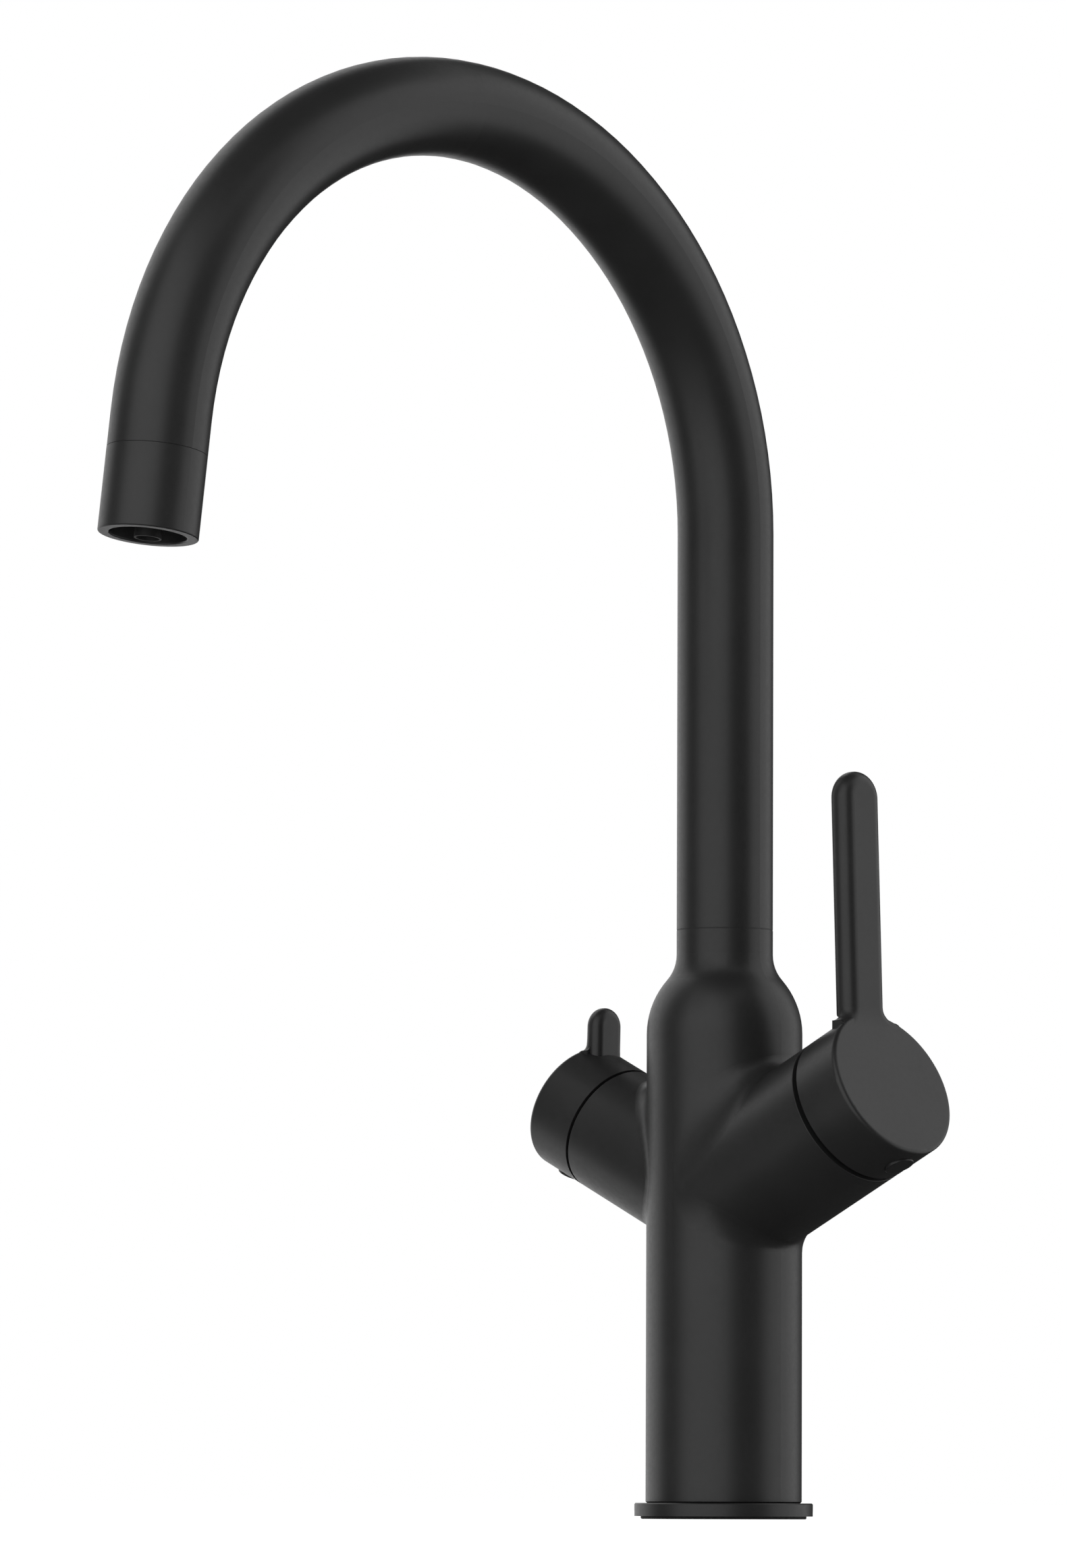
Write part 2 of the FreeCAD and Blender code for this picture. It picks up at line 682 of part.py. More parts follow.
def ports(name, radius, low, high):
    """The two inlet ports and the outlet port of the cartridge."""
    places = (
        ("hot", "inlet_port_drop", "-inlet_aside"),
        ("cold", "inlet_port_drop", "inlet_aside"),
        ("mixed", "-mixed_port_rise", "0"),
    )
    return [port_hole(name + "_" + way, drop, aside, radius, low, high) for way, drop, aside in places]


def mixer_cartridge_base():
    """Plastic base of the cartridge, with its ports and pockets for their seals."""
    seat = "mixer_seat"
    blank = on_hub(disc("cartridge_base_blank", "cartridge_radius - fit_gap", seat, MIXER_FIXED), MIXER)
    pockets = ports("seal_pocket", "port_seal_radius", seat, "(mixer_seat + port_seal_depth)")
    holes = ports("base_port", "duct_radius", seat, MIXER_FIXED)
    return cut("mixer_cartridge_base", blank, holes + pockets)


def mixer_port_seals():
    """Three rubber rings between the cartridge and its seat."""
    low, high = "mixer_seat", "(mixer_seat + port_seal_depth)"
    rings = ports("port_seal", "port_seal_radius - fit_gap", low, high)
    holes = ports("port_seal_hole", "duct_radius", low, high)
    seals = [cut("port_seal_ring_%d" % index, rings[index], [holes[index]]) for index in range(len(rings))]
    return group("mixer_port_seals", seals)


def mixer_cartridge_housing():
    """Plastic cup over the discs, with a neck for the spindle."""
    return on_hub(turned("mixer_cartridge_housing", [
        (CARTRIDGE_INSIDE, MIXER_FIXED),
        ("cartridge_radius - fit_gap", MIXER_FIXED),
        ("cartridge_radius - fit_gap", MIXER_SHOULDER),
        ("mixer_neck_radius", MIXER_SHOULDER),
        ("mixer_neck_radius", MIXER_NECK_END),
        ("mixer_spindle_radius + running_gap", MIXER_NECK_END),
        ("mixer_spindle_radius + running_gap", MIXER_CEILING),
        (CARTRIDGE_INSIDE, MIXER_CEILING),
    ]), MIXER)


def mixer_fixed_disc():
    """Ceramic disc that stays still, with the three ports."""
    radius = CARTRIDGE_INSIDE + " - fit_gap"
    blank = on_hub(disc("mixer_fixed_blank", radius, MIXER_FIXED, MIXER_MOVING), MIXER)
    return cut("mixer_fixed_disc", blank, ports("fixed_port", "duct_radius", MIXER_FIXED, MIXER_MOVING))


def tongue(name, side, radius, low, depth, gap):
    """A bar across a hub's axis that drives a disc, or with a gap the slot for it."""
    bar = doc.addObject("Part::Box", name)
    width = "(tongue_width + 2 * %s)" % gap
    length = "(2 * %s)" % radius
    bind(bar, Length=length, Width=width, Height=depth)
    return on_hub(bar, side, "%d * %s / 2" % (-side, length), "-%s / 2" % width, low)


def mixer_moving_disc():
    """Ceramic disc that turns, with a chamber below that joins the ports and a slot on top."""
    radius = CARTRIDGE_INSIDE + " - running_gap"
    blank = on_hub(disc("mixer_moving_blank", radius, MIXER_MOVING, MIXER_DRIVER), MIXER)
    top = "(%s + mixer_chamber_depth)" % MIXER_MOVING
    middle = port_hole("chamber_middle", "0", "0", "mixer_chamber_radius", MIXER_MOVING, top)
    lobe = port_hole("chamber_lobe", "-mixed_port_rise", "0", "duct_radius", MIXER_MOVING, top)
    floor = MIXER_DRIVER + " - tongue_depth"
    slot = tongue("mixer_slot", MIXER, radius, floor, "2 * tongue_depth", "fit_gap")
    return cut("mixer_moving_disc", blank, [middle, lobe, slot])


def mixer_spindle():
    """Brass spindle with a driver plate and a tongue below, and a tip that carries the handle."""
    plate = CARTRIDGE_INSIDE + " - running_gap"
    groove = "(mixer_spindle_radius - o_ring_section)"
    ring_low = "(%s - 3 * o_ring_section)" % MIXER_NECK_END
    ring_high = "(%s - 2 * o_ring_section)" % MIXER_NECK_END
    blank = on_hub(turned("mixer_spindle_blank", [
        ("0", MIXER_DRIVER),
        (plate, MIXER_DRIVER),
        (plate, MIXER_DRIVER + " + mixer_driver_depth"),
        ("mixer_spindle_radius", MIXER_DRIVER + " + mixer_driver_depth"),
        ("mixer_spindle_radius", ring_low),
        (groove, ring_low),
        (groove, ring_high),
        ("mixer_spindle_radius", ring_high),
        ("mixer_spindle_radius", MIXER_NECK_END + " + spindle_show"),
        ("mixer_spindle_tip_radius", MIXER_NECK_END + " + spindle_show"),
        ("mixer_spindle_tip_radius", MIXER_TIP_END),
        ("0", MIXER_TIP_END),
    ]), MIXER)
    reach = "(sqrt((%s)^2 - (tongue_width / 2)^2) - fit_gap)" % plate
    low = MIXER_DRIVER + " - tongue_depth + fit_gap"
    key = tongue("mixer_tongue", MIXER, reach, low, "tongue_depth", "0")
    return join("mixer_spindle", [blank, key])


def mixer_spindle_o_ring():
    """Rubber ring that seals the mixer spindle in its neck."""
    low = "(%s - 3 * o_ring_section + fit_gap)" % MIXER_NECK_END
    high = "(%s - 2 * o_ring_section - fit_gap)" % MIXER_NECK_END
    inside = "(mixer_spindle_radius - o_ring_section + fit_gap)"
    outside = "mixer_spindle_radius + fit_gap"
    return on_hub(tube("mixer_spindle_o_ring", inside, outside, low, high), MIXER)


def mixer_cartridge_nut():
    """Brass ring that screws into the hub and holds the cartridge down."""
    high = MIXER_NUT_TOP
    inside = "mixer_neck_radius + fit_gap"
    outside = "mixer_nut_radius - fit_gap"
    return on_hub(tube("mixer_cartridge_nut", inside, outside, MIXER_SHOULDER, high), MIXER)


def mixer_gap_ring():
    """Dark collar on the hub that shows in the gap below the cap."""
    low = MIXER_NUT_TOP
    return on_hub(turned("mixer_gap_ring", [
        ("mixer_neck_radius + open_gap", low),
        ("mixer_nut_radius - fit_gap", low),
        ("mixer_nut_radius - fit_gap", "mixer_hub_end"),
        (MIXER_RING_RADIUS, "mixer_hub_end"),
        (MIXER_RING_RADIUS, MIXER_CAP_START + " + ring_lap"),
        ("mixer_neck_radius + open_gap", MIXER_CAP_START + " + ring_lap"),
    ]), MIXER)


def filter_seat_seal():
    """Rubber ring between the filtered water valve and its seat."""
    outside = "filter_bore_radius - fit_gap"
    seal = tube("filter_seat_seal", "filter_seal_bore", outside, "filter_seat", FILTER_FIXED)
    return on_hub(seal, FILTER)


def filter_valve_housing():
    """Brass housing of the valve, with outlet windows, a flange and a neck for the spindle."""
    blank = on_hub(turned("filter_housing_blank", [
        (FILTER_INSIDE, FILTER_FIXED),
        ("filter_bore_radius - fit_gap", FILTER_FIXED),
        ("filter_bore_radius - fit_gap", FILTER_SHOULDER),
        ("filter_ring_seat_radius - open_gap", FILTER_SHOULDER),
        ("filter_ring_seat_radius - open_gap", FILTER_FLANGE_TOP),
        ("filter_housing_neck_radius", FILTER_FLANGE_TOP),
        ("filter_housing_neck_radius", FILTER_NECK_END),
        ("filter_spindle_radius + running_gap", FILTER_NECK_END),
        ("filter_spindle_radius + running_gap", FILTER_CEILING),
        (FILTER_INSIDE, FILTER_CEILING),
    ]), FILTER)
    window = doc.addObject("Part::Box", "filter_windows")
    length = "(2 * filter_bore_radius)"
    bind(window, Length=length, Width="filter_window_width", Height="filter_window_depth")
    on_hub(window, FILTER, length + " / 2", "-filter_window_width / 2", FILTER_DRIVER_END)
    return cut("filter_valve_housing", blank, [window])


def half_window(name, radius, low, high):
    """A round window to one side of the filter hub's axis."""
    hole = cylinder(name, radius, "%s - %s" % (high, low))
    return on_hub(hole, FILTER, "0", "filter_seal_bore - filter_duct_radius / 2", low)


def filter_fixed_disc():
    """Ceramic disc that stays still, with an off-centre window."""
    radius = FILTER_INSIDE + " - fit_gap"
    blank = on_hub(disc("filter_fixed_blank", radius, FILTER_FIXED, FILTER_MOVING), FILTER)
    hole = half_window("filter_fixed_window", "filter_duct_radius", FILTER_FIXED, FILTER_MOVING)
    return cut("filter_fixed_disc", blank, [hole])


def filter_moving_disc():
    """Ceramic disc that turns its window, a quarter turn away, over the fixed one."""
    radius = FILTER_INSIDE + " - running_gap"
    blank = on_hub(disc("filter_moving_blank", radius, FILTER_MOVING, FILTER_DRIVER), FILTER)
    hole = cylinder("filter_moving_window", "filter_duct_radius", "filter_moving_disc_depth")
    on_hub(hole, FILTER, "filter_duct_radius / 2 - filter_seal_bore", "0", FILTER_MOVING)
    floor = FILTER_DRIVER + " - tongue_depth"
    slot = tongue("filter_slot", FILTER, radius, floor, "2 * tongue_depth", "fit_gap")
    return cut("filter_moving_disc", blank, [hole, slot])


def filter_spindle():
    """Brass spindle of the filtered water valve, with a tongue below and a tip for the handle."""
    plate = "(filter_spindle_radius + o_ring_section)"
    groove = "(filter_spindle_radius - o_ring_section)"
    ring_low = "(%s - 3 * o_ring_section)" % FILTER_NECK_END
    ring_high = "(%s - 2 * o_ring_section)" % FILTER_NECK_END
    blank = on_hub(turned("filter_spindle_blank", [
        ("0", FILTER_DRIVER),
        (plate, FILTER_DRIVER),
        (plate, FILTER_DRIVER_END),
        ("filter_spindle_radius", FILTER_DRIVER_END),
        ("filter_spindle_radius", ring_low),
        (groove, ring_low),
        (groove, ring_high),
        ("filter_spindle_radius", ring_high),
        ("filter_spindle_radius", FILTER_NECK_END + " + spindle_show"),
        ("filter_spindle_tip_radius", FILTER_NECK_END + " + spindle_show"),
        ("filter_spindle_tip_radius", FILTER_TIP_END),
        ("0", FILTER_TIP_END),
    ]), FILTER)
    low = FILTER_DRIVER + " - tongue_depth + fit_gap"
    key = tongue("filter_tongue", FILTER, plate, low, "tongue_depth", "0")
    return join("filter_spindle", [blank, key])


def filter_spindle_o_ring():
    """Rubber ring that seals the filter spindle in its neck."""
    low = "(%s - 3 * o_ring_section + fit_gap)" % FILTER_NECK_END
    high = "(%s - 2 * o_ring_section - fit_gap)" % FILTER_NECK_END
    inside = "(filter_spindle_radius - o_ring_section + fit_gap)"
    outside = "filter_spindle_radius + fit_gap"
    return on_hub(tube("filter_spindle_o_ring", inside, outside, low, high), FILTER)


def filter_gap_ring():
    """Dark collar that screws into the hub, holds the valve down and shows in the gap."""
    low = FILTER_FLANGE_TOP
    return on_hub(turned("filter_gap_ring", [
        ("filter_housing_neck_radius + fit_gap", low),
        ("filter_ring_seat_radius - fit_gap", low),
        ("filter_ring_seat_radius - fit_gap", "filter_hub_end"),
        (FILTER_RING_RADIUS, "filter_hub_end"),
        (FILTER_RING_RADIUS, FILTER_CAP_START + " + ring_lap"),
        ("filter_housing_neck_radius + fit_gap", FILTER_CAP_START + " + ring_lap"),
    ]), FILTER)


def cap(name, side, radius, start, face, ring_radius, tip_radius, tip_end):
    """Round cap of a handle, with a recess over the collar and a bore for the spindle."""
    bore = "(%s + fit_gap)" % tip_radius
    recess = "(%s + open_gap)" % ring_radius
    floor = "(%s + cap_recess)" % start
    return on_hub(turned(name, [
        (bore, floor),
        (recess, floor),
        (recess, start),
        (radius, start),
        (radius, face + " - cap_edge"),
        (radius + " - cap_edge", face, "cap_edge", 1),
        ("0", face),
        ("0", tip_end + " + open_gap"),
        (bore, tip_end + " + open_gap"),
    ]), side)


def lever_side(radius, width, depth, rise, gap):
    """Outline of a lever seen from its edge, from the line where its face leaves the cap's face.

    It is drawn for the mixer's side: the face looks to +X. Without a gap the lever goes down into
    the cap over its full depth; with one only its front half does.
    """
    tangent = "(lever_bend * tan((hub_tilt - lever_lean) / 2))"
    below = "(%s - sqrt(%s^2 - (%s / 2)^2))" % (radius, radius, width)
    crown = "(%s / cos(hub_tilt))" % below
    sunk = "(2 * %s)" % tangent
    plate = "(%s / 2)" % depth
    corners = [
        ("%s * sin(hub_tilt)" % tangent, "-%s * cos(hub_tilt)" % tangent),
        (
            "-%s * sin(lever_lean)" % tangent,
            "%s * cos(lever_lean)" % tangent,
            "lever_bend",
            -1,
        ),
        ("-%s * tan(lever_lean)" % rise, rise),
        ("-%s * tan(lever_lean) - %s" % (rise, depth), rise),
    ]
    if gap:
        corners.append(("-" + depth, "%s - %s * tan(hub_tilt) + %s" % (crown, depth, gap)))
        corners.append(("-" + plate, "%s - %s * tan(hub_tilt)" % (crown, plate)))
        corners.append(("-" + plate, "-" + sunk))
    else:
        corners.append(("-" + depth, "-%s * tan(hub_tilt) - %s" % (depth, tangent)))
    corners.append(("%s * sin(hub_tilt) - %s" % (tangent, plate), "-" + sunk))
    return corners


def lever_front(width, rise, flare=None):
    """Outline of a lever seen from its face, with a round tip and, with a flare, feet at the cap."""
    half = "(%s / 2)" % width
    deep = "-%s" % width
    tip = [
        (half, rise + " - " + half),
        ("0", rise, half, 1),
        ("-" + half, rise + " - " + half, half, 1),
    ]
    if not flare:
        return tip + [("-" + half, deep), (half, deep)]
    foot = "(%s + %s)" % (half, flare)
    low = "-%s / 3" % flare
    return tip + [
        ("-" + half, "%s + %s" % (low, flare)),
        ("-" + foot, low, flare, -1),
        ("-" + foot, deep),
        (foot, deep),
        (foot, low),
        (half, "%s + %s" % (low, flare), flare, -1),
    ]


def trim(body, name, corners, reach):
    """Takes away all of a body that lies outside an outline seen along X."""
    sketch = new_sketch(body, name + "_outline", "YZ_Plane")
    outline(sketch, corners)
    far = "-" + reach
    outline(sketch, [(reach, reach), (far, reach), (far, far), (reach, far)])
    pocket = body.newObject("PartDesign::Pocket", name)
    pocket.Profile = sketch
    pocket.Type = "ThroughAll"
    return pocket, sketch


def lever(name, side, radius, face, width, depth, rise, flare, gap=None):
    """Flat lever that rises from the top of a cap's face, with fully rounded sides."""
    body = new_body(name)
    profile = new_sketch(body, name + "_side", "XZ_Plane")
    corners = []
    for x, *rest in lever_side(radius, width, depth, rise, gap):
        turn = [rest[1], rest[2] * side] if len(rest) > 1 else []
        corners.append(tuple([x if side == MIXER else "-(%s)" % x, rest[0]] + turn))
    outline(profile, corners)
    pad = body.newObject("PartDesign::Pad", name + "_pad")
    pad.Profile = profile
    pad.Midplane = True
    bind(pad, Length="2 * (%s + %s)" % (width, flare))
    reach = "(%s + %s)" % (width, rise)
    around, sketch = trim(body, name + "_around", lever_front(width, rise, flare), reach)
    around.Midplane = True
    behind, sketch = trim(body, name + "_behind", lever_front(width, rise), reach)
    sketch.setExpression("AttachmentOffset.Base.z", sized("%d * %s / 2" % (-side, depth)))
    behind.Reversed = side == FILTER
    doc.recompute()
    rounding = body.newObject("PartDesign::Fillet", name + "_rounding")
    rounding.Base = (behind, lever_edges(behind.Shape, value("%s / 3" % flare)))
    bind(rounding, Radius="(%s - lever_flat) / 2" % depth)
    top = "sqrt(%s^2 - (%s / 2)^2)" % (radius, width)
    return place(
        body,
        x="%d * (%s * cos(hub_tilt) - %s * sin(hub_tilt))" % (side, face, top),
        z="hub_axis_height + %s * sin(hub_tilt) + %s * cos(hub_tilt)" % (face, top),
    )


def lever_edges(shape, below):
    """Names of the edges around a lever's front and back, above the foot of its flare."""
    names = []
    for number, edge in enumerate(shape.Edges, start=1):
        middle = edge.valueAt((edge.FirstParameter + edge.LastParameter) / 2)
        faces = shape.ancestorsOfType(edge, Part.Face)
        normals = [face.normalAt(*face.Surface.parameter(middle)) for face in faces]
        outward = any(abs(normal.x) > 0.9 for normal in normals)
        aside = any(abs(normal.x) < 0.1 for normal in normals)
        on_plate = any(abs(normal.x) > 0.9999 for normal in normals)
        if outward and aside and middle.z > -below and not on_plate:
            names.append("Edge%d" % number)
    return names


def screw_hole(name, side, radius, along):
    """Stepped hole in a cap's underside, for the grub screw and the cover over it."""
    floor = "(%s - plug_depth)" % radius
    end = "(%s + plug_radius)" % radius
    return under_hub(turned(name, [
        ("0", "0"),
        ("grub_radius", "0"),
        ("grub_radius", floor),
        ("plug_radius + fit_gap", floor),
        ("plug_radius + fit_gap", end),
        ("0", end),
    ]), side, along)


def mixer_handle():
    """Cap and long lever of the hot and cold handle."""
    face_cap = cap("mixer_cap", MIXER, MIXER_RADIUS, MIXER_CAP_START, MIXER_FACE, MIXER_RING_RADIUS,
                   "mixer_spindle_tip_radius", MIXER_TIP_END)
    blade = lever("mixer_lever", MIXER, MIXER_RADIUS, MIXER_FACE, "mixer_lever_width", "mixer_lever_depth",
                  "mixer_lever_rise", "mixer_lever_flare", "mixer_lever_gap")
    hole = screw_hole("mixer_screw_hole", MIXER, MIXER_RADIUS, MIXER_SCREW)
    return cut("mixer_handle", join("mixer_handle_blank", [face_cap, blade]), [hole])


def filter_handle():
    """Cap and short lever of the filtered water handle."""
    radius = "filter_hub_radius"
    face_cap = cap("filter_cap", FILTER, radius, FILTER_CAP_START, FILTER_FACE, FILTER_RING_RADIUS,
                   "filter_spindle_tip_radius", FILTER_TIP_END)
    blade = lever("filter_lever", FILTER, radius, FILTER_FACE, "filter_lever_width", "filter_lever_depth",
                  "filter_lever_rise", "filter_lever_flare")
    hole = screw_hole("filter_screw_hole", FILTER, radius, FILTER_SCREW)
    return cut("filter_handle", join("filter_handle_blank", [face_cap, blade]), [hole])


def grub_screw(label, side, tip_radius, along):
    """Grub screw that holds a cap on its spindle."""
    low = "(%s + fit_gap)" % tip_radius
    return under_hub(disc(label, "grub_radius - fit_gap", low, low + " + grub_length"), side, along)


def screw_plug(label, side, radius, along):
    """Small round cover over a handle's grub screw."""
    top = "(%s + plug_proud)" % radius
    return under_hub(turned(label, [
        ("0", radius + " - plug_depth"),
        ("plug_radius", radius + " - plug_depth"),
        ("plug_radius", top + " - plug_edge"),
        ("plug_radius - plug_edge", top, "plug_edge", 1),
        ("0", top),
    ]), side, along)


def spout_spigot():
    """Brass spigot in the foot of the spout, with seal grooves and a groove that limits the swivel."""
    radius = "(neck_bore_radius - running_gap)"
    groove = "(neck_bore_radius - o_ring_section)"
    corners = [("spigot_bore", SPIGOT_END), (radius, SPIGOT_END)]
    for index in (0, 1):
        low = "(%s + %d * spigot_ring_pitch)" % (SPIGOT_RINGS, index)
        high = "(%s + o_ring_section)" % low
        corners += [(radius, low), (groove, low), (groove, high), (radius, high)]
    corners += [
        (radius, SPOUT_START),
        (SPOUT_BORE + " - fit_gap", SPOUT_START),
        (SPOUT_BORE + " - fit_gap", SPIGOT_TOP),
        ("spigot_bore", SPIGOT_TOP),
    ]
    body = turned("spout_spigot", corners)
    sketch = new_sketch(body, "swivel_groove_profile", "YZ_Plane")
    half = "(retainer_radius + fit_gap)"
    inside = "(neck_bore_radius - retainer_depth - fit_gap)"
    outside = "(neck_bore_radius + retainer_depth)"
    low, high = RETAINER_HEIGHT + " - " + half, RETAINER_HEIGHT + " + " + half
    outline(sketch, [(inside, low), (outside, low), (outside, high), (inside, high)])
    groove = body.newObject("PartDesign::Groove", "swivel_groove")
    groove.Profile = sketch
    groove.ReferenceAxis = (sketch, ["V_Axis"])
    groove.Midplane = True
    bind(groove, Angle="2 * (swivel_stop * 1 deg + asin((retainer_radius + open_gap) / %s))" % inside)
    return body


def spout_o_rings():
    """Two rubber rings that seal the spigot in the neck."""
    rings = []
    for index in (0, 1):
        low = "(%s + %d * spigot_ring_pitch + fit_gap)" % (SPIGOT_RINGS, index)
        high = "(%s + o_ring_section - 2 * fit_gap)" % low
        inside = "neck_bore_radius - o_ring_section + fit_gap"
        rings.append(tube("spout_o_ring_%d" % index, inside, "neck_bore_radius - fit_gap / 2", low, high))
    return group("spout_o_rings", rings)


def spout_glide_ring():
    """Thin washer that the spout turns on."""
    return tube("spout_glide_ring", "neck_bore_radius", "spout_radius - fit_gap", NECK_TOP, SPOUT_START)


def spout_retaining_screw():
    """Grub screw in the back of the neck that runs in the spigot's groove."""
    low = "(neck_bore_radius - retainer_depth)"
    screw = disc("spout_retaining_screw", "retainer_radius - fit_gap", low, "spout_radius - open_gap")
    return place(screw, z=RETAINER_HEIGHT, about=Vector(-1, 0, 0), angle="90")


def filtered_tube_o_ring():
    """Rubber ring that seals the filtered water tube in the body."""
    low = TUBE_RING_START + " + fit_gap"
    high = TUBE_RING_START + " + o_ring_section - fit_gap"
    inside = "filtered_tube_radius + fit_gap"
    outside = "filtered_tube_radius + o_ring_section - fit_gap"
    return tube("filtered_tube_o_ring", inside, outside, low, high)


def outlet_sleeve():
    """End sleeve of the spout, with a tail that screws into the tube."""
    tail = "(%s - fit_gap)" % SPOUT_BORE
    inside = "(%s - sleeve_tail_wall)" % tail
    groove = "(%s - o_ring_section / 2)" % tail
    ring_end = "(sleeve_ring_start + o_ring_section)"
    return at_outlet(turned("outlet_sleeve", [
        (inside, "sleeve_start - sleeve_tail"),
        (tail, "sleeve_start - sleeve_tail"),
        (tail, "sleeve_ring_start"),
        (groove, "sleeve_ring_start"),
        (groove, ring_end),
        (tail, ring_end),
        (tail, "sleeve_start"),
        ("spout_radius - sleeve_seam", "sleeve_start"),
        ("spout_radius", "sleeve_start + sleeve_seam"),
        ("spout_radius", SLEEVE_END + " - sleeve_edge"),
        ("spout_radius - sleeve_edge", SLEEVE_END, "sleeve_edge", 1),
        ("sleeve_mouth_radius + sleeve_edge", SLEEVE_END),
        ("sleeve_mouth_radius", SLEEVE_END + " - sleeve_edge", "sleeve_edge", 1),
        ("sleeve_mouth_radius", "former_start"),
        (inside, "former_start"),
    ]))


def outlet_o_ring():
    """Rubber ring between the sleeve's tail and the tube."""
    tail = "(%s - fit_gap)" % SPOUT_BORE
    inside = tail + " - o_ring_section / 2 + fit_gap / 2"
    low = "sleeve_ring_start + fit_gap"
    high = "sleeve_ring_start + o_ring_section - fit_gap"
    return at_outlet(tube("outlet_o_ring", inside, SPOUT_BORE + " - fit_gap / 2", low, high))


def stream_former():
    """Insert that shapes the mixed water into a ring of jets around the nozzle."""
    high = "(former_start + former_depth)"
    body = turned("stream_former", [
        (NOZZLE_RADIUS + " + fit_gap", "former_start"),
        (NOZZLE_RADIUS + " + fit_gap + former_wall", "former_start"),
        (NOZZLE_RADIUS + " + fit_gap + former_wall", high + " - former_floor"),
        ("sleeve_mouth_radius - fit_gap - former_wall", high + " - former_floor"),
        ("sleeve_mouth_radius - fit_gap - former_wall", "former_start"),
        ("sleeve_mouth_radius - fit_gap", "former_start"),
        ("sleeve_mouth_radius - fit_gap", high),
        (NOZZLE_RADIUS + " + fit_gap", high),
    ])
    sketch = new_sketch(body, "former_hole_place", "XY_Plane")
    ring(sketch, "former_hole_circle", "0", "former_hole_radius")
    hole = body.newObject("PartDesign::Pocket", "former_hole")
    hole.Profile = sketch
    hole.Type = "ThroughAll"
    hole.Reversed = True
    pattern = body.newObject("PartDesign::PolarPattern", "former_holes_round")
    pattern.Originals = [hole]
    pattern.Axis = (sketch, ["N_Axis"])
    pattern.Angle = 360
    pattern.setExpression("Occurrences", sized("former_holes"))
    body.Tip = pattern
    return at_outlet(body)


def filtered_water_nozzle():
    """Thin nozzle in the middle of the outlet, on the end of the filtered water tube."""
    end = SLEEVE_END + " + nozzle_proud"
    bore = "filtered_tube_radius + fit_gap"
    return at_outlet(tube("filtered_water_nozzle", bore, NOZZLE_RADIUS, "nozzle_start", end))


def spout_tube():
    """Swan-neck tube of the spout."""
    return piped("spout_tube", "spout_radius", SPOUT_BORE, SPOUT_START, "sleeve_start")


def filtered_water_tube():
    """Inner tube that takes the filtered water through the spout to its nozzle."""
    inside = "filtered_tube_radius - filtered_tube_wall"
    straight = "nozzle_start + nozzle_cover"
    return piped("filtered_water_tube", "filtered_tube_radius", inside, FILTERED_TUBE_START, straight)


def build():
    """Every sub-part of the tap."""
    return [
        base_seal(),
        base_flange(),
        tap_body(),
        mixer_cartridge_base(),
        mixer_port_seals(),
        mixer_cartridge_housing(),
        mixer_fixed_disc(),
        mixer_moving_disc(),
        mixer_spindle(),
        mixer_spindle_o_ring(),
        mixer_cartridge_nut(),
        mixer_gap_ring(),
        mixer_handle(),
        grub_screw("mixer_grub_screw", MIXER, "mixer_spindle_tip_radius", MIXER_SCREW),
        screw_plug("mixer_screw_plug", MIXER, MIXER_RADIUS, MIXER_SCREW),
        filter_seat_seal(),
        filter_valve_housing(),
        filter_fixed_disc(),
        filter_moving_disc(),
        filter_spindle(),
        filter_spindle_o_ring(),
        filter_gap_ring(),
        filter_handle(),
        grub_screw("filter_grub_screw", FILTER, "filter_spindle_tip_radius", FILTER_SCREW),
        screw_plug("filter_screw_plug", FILTER, "filter_hub_radius", FILTER_SCREW),
        spout_glide_ring(),
        spout_retaining_screw(),
        filtered_tube_o_ring(),
        spout_tube(),
        spout_spigot(),
        spout_o_rings(),
        filtered_water_tube(),
        outlet_sleeve(),
        outlet_o_ring(),
        stream_former(),
        filtered_water_nozzle(),
    ]


def check(subparts):
    """Stops if anything failed to build."""
    for item in doc.Objects:
        if "Invalid" in item.State or "Error" in item.State:
            raise RuntimeError("%s failed to build" % item.Label)
    for item in subparts:
        if item.Shape.isNull() or not item.Shape.isValid() or not item.Shape.Solids:
            raise RuntimeError("%s has no valid solid" % item.Label)


subparts = build()
doc.recompute()
check(subparts)
os.makedirs("parts", exist_ok=True)
for item in subparts:
    item.Shape.exportStep("parts/%s.step" % item.Label)
    print("%-26s %2d solids %10.1f mm3" % (item.Label, len(item.Shape.Solids), item.Shape.Volume))
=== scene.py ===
import math
import bpy
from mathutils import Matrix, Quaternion, Vector


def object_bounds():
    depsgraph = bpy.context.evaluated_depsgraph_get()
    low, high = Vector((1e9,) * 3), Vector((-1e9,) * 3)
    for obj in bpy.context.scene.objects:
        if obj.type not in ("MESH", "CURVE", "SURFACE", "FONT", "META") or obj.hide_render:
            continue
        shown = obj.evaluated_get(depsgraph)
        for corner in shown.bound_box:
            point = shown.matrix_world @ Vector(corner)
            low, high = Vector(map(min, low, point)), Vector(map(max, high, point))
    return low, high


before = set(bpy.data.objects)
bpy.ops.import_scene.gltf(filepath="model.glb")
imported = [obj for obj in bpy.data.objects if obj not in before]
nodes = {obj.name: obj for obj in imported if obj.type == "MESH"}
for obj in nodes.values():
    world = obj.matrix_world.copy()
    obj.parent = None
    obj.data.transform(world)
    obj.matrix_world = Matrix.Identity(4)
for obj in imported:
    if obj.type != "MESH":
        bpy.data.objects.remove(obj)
cad_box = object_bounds()

# The photograph's height and focal length in its pixels
IMAGE_HEIGHT = 2324
FOCAL_PIXELS = 13807

# The camera as fitted to the tap's outline, with its place in metres
SENSOR_MM = 36
CAMERA_AZIMUTH = math.radians(44.65)
CAMERA_PITCH = math.radians(4.41)
CAMERA_ROLL = math.radians(0.21)
CAMERA_DISTANCE = 2.512
CAMERA_ASIDE = 0.0518
CAMERA_HEIGHT = 0.0043

